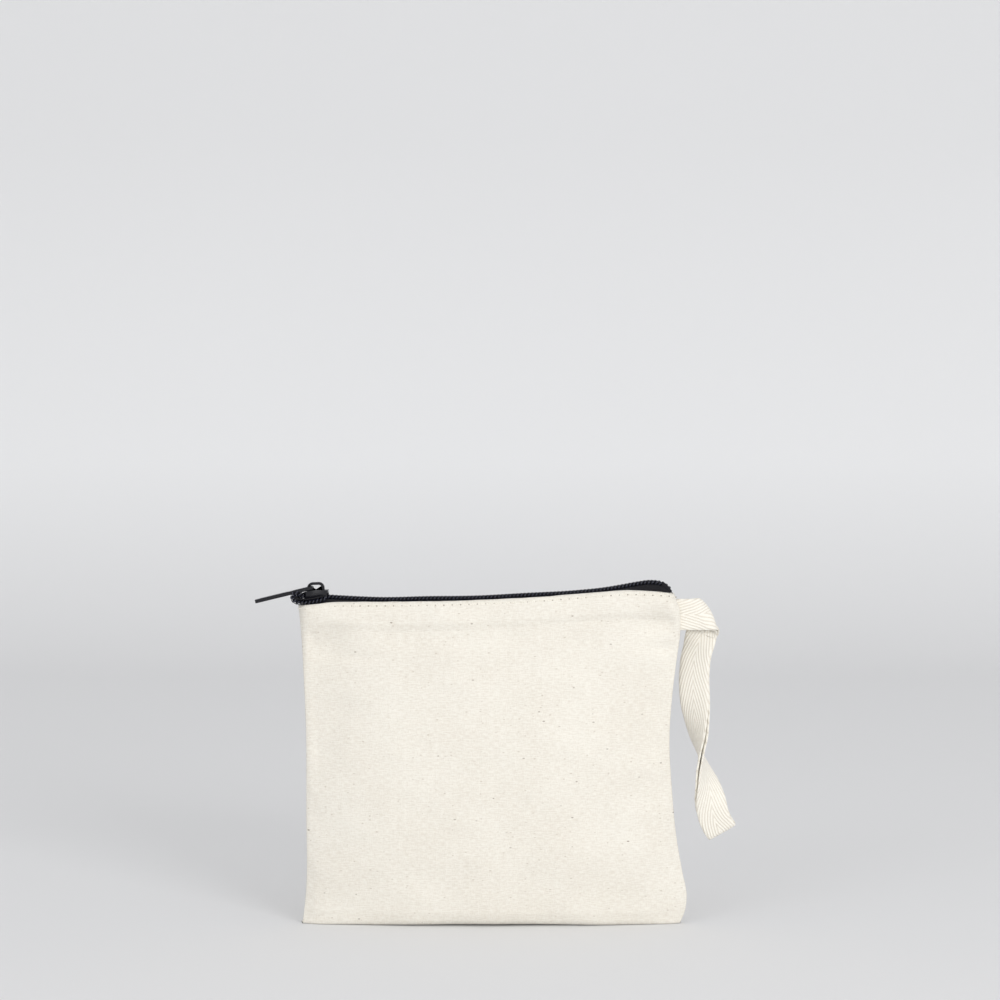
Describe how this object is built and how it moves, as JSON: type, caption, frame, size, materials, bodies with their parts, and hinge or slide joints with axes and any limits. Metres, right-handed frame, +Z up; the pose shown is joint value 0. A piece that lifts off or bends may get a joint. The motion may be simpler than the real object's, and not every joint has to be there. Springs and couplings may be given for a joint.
{
  "type": "zippered pouch",
  "caption": "Small standing canvas pouch with a coil zip along the top, a metal slider and pull tab, and a twill tape wrist loop.",
  "frame": {"origin": "middle of the flat underside, on the plane between the two panels", "axes": "+X along the zip towards the wrist loop, -Y out of the front panel, +Z up from the underside to the zip"},
  "size_m": [0.158, 0.0222, 0.1136],
  "materials": {
    "canvas": "plain-weave natural cotton canvas",
    "thread": "cotton-wrapped sewing thread",
    "twill_tape": "herringbone cotton twill tape",
    "zip_tape": "black woven polyester zip tape",
    "coil": "black nylon monofilament, slight sheen",
    "metal": "black lacquered zinc, semi-gloss"
  },
  "bodies": {
    "pouch": {"front_panel": "canvas", "back_panel": "canvas", "topstitch_front": "thread", "topstitch_back": "thread", "side_seam_left": "thread", "side_seam_right": "thread", "bottom_seam": "thread", "overlock_left": "thread", "overlock_right": "thread", "overlock_bottom": "thread"},
    "front_stringer": {"zipper_tape_front": "zip_tape", "coil_front": "coil", "coil_cord_front": "zip_tape", "coil_stitching_front": "zip_tape"},
    "back_stringer": {"zipper_tape_back": "zip_tape", "coil_back": "coil", "coil_cord_back": "zip_tape", "coil_stitching_back": "zip_tape"},
    "slider": {"slider_body": "metal", "slider_bail": "metal"},
    "pull": {"pull_tab": "metal"},
    "strap": {"wrist_strap": "twill_tape"}
  },
  "joints": [
    {"name": "slider_travel", "type": "slide", "parent": "pouch", "child": "slider", "axis": [0.9994, 0, 0.0349], "range_m": [0, 0.103]},
    {"name": "pull_flip", "type": "hinge", "parent": "slider", "child": "pull", "pos_m": [-0.05849, 0, 0.11165], "axis": [0, 1, 0], "range_deg": [0, 190]},
    {"name": "mouth_front", "type": "hinge", "parent": "pouch", "child": "front_stringer", "pos_m": [0, 0, 0.02], "axis": [1, 0, 0], "range_deg": [0, 7], "deforming": ["zipper_tape_front", "coil_front", "coil_cord_front", "coil_stitching_front"]},
    {"name": "mouth_back", "type": "hinge", "parent": "pouch", "child": "back_stringer", "pos_m": [0, 0, 0.02], "axis": [-1, 0, 0], "range_deg": [0, 7], "deforming": ["zipper_tape_back", "coil_back", "coil_cord_back", "coil_stitching_back"]},
    {"name": "strap_swing", "type": "hinge", "parent": "pouch", "child": "strap", "pos_m": [0.0635, 0, 0.1028], "axis": [0, 0, 1], "range_deg": [-60, 60]}
  ],
  "couplings": [
    {"joint": "mouth_front", "follows": "slider_travel", "rad_per_m": 1.1},
    {"joint": "mouth_back", "follows": "slider_travel", "rad_per_m": 1.1}
  ]
}
